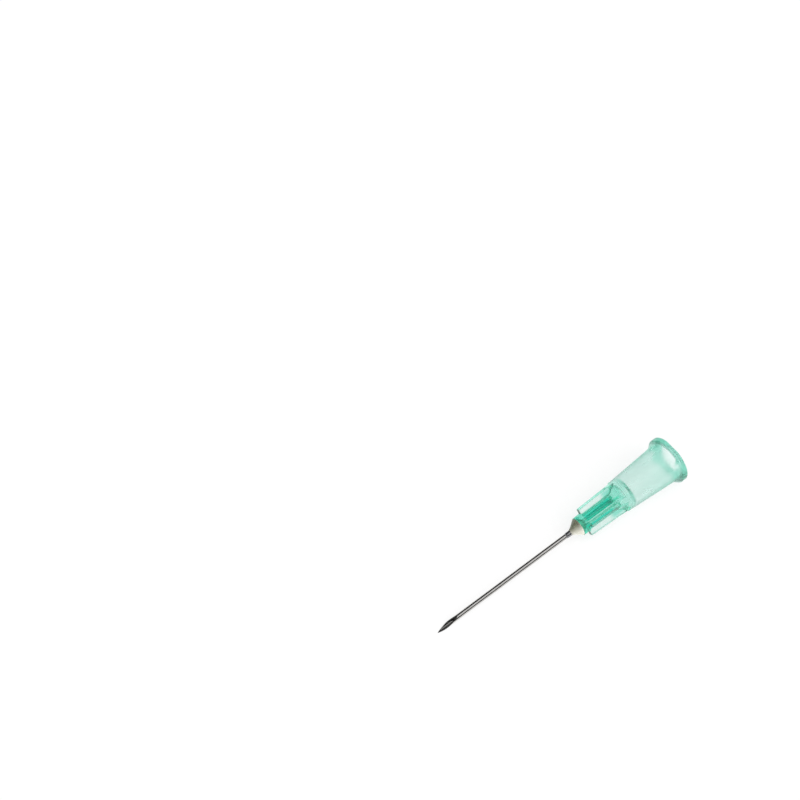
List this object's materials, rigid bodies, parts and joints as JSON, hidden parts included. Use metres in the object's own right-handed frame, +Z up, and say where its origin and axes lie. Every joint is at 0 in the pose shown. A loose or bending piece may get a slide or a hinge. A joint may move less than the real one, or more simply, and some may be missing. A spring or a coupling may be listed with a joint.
{
  "type": "hypodermic needle",
  "caption": "Single-use hypodermic needle: translucent green hub with a conical socket, locking lugs and fins, bonded to a bevelled steel cannula.",
  "frame": {"origin": "on the ground, under the middle of the part's bounding box as it lies at rest", "axes": "+X from the point towards the hub, +Z up; the needle's axis lies in the XZ plane and rises 4.2 degrees towards the hub"},
  "size_m": [0.0458, 0.0078, 0.0074],
  "materials": {
    "hub": "moulded, translucent",
    "cannula": "bright drawn tube, ground point",
    "adhesive": "cured, glossy"
  },
  "bodies": {
    "root": {"hub": "hub", "cannula": "cannula", "adhesive": "adhesive"}
  },
  "joints": []
}
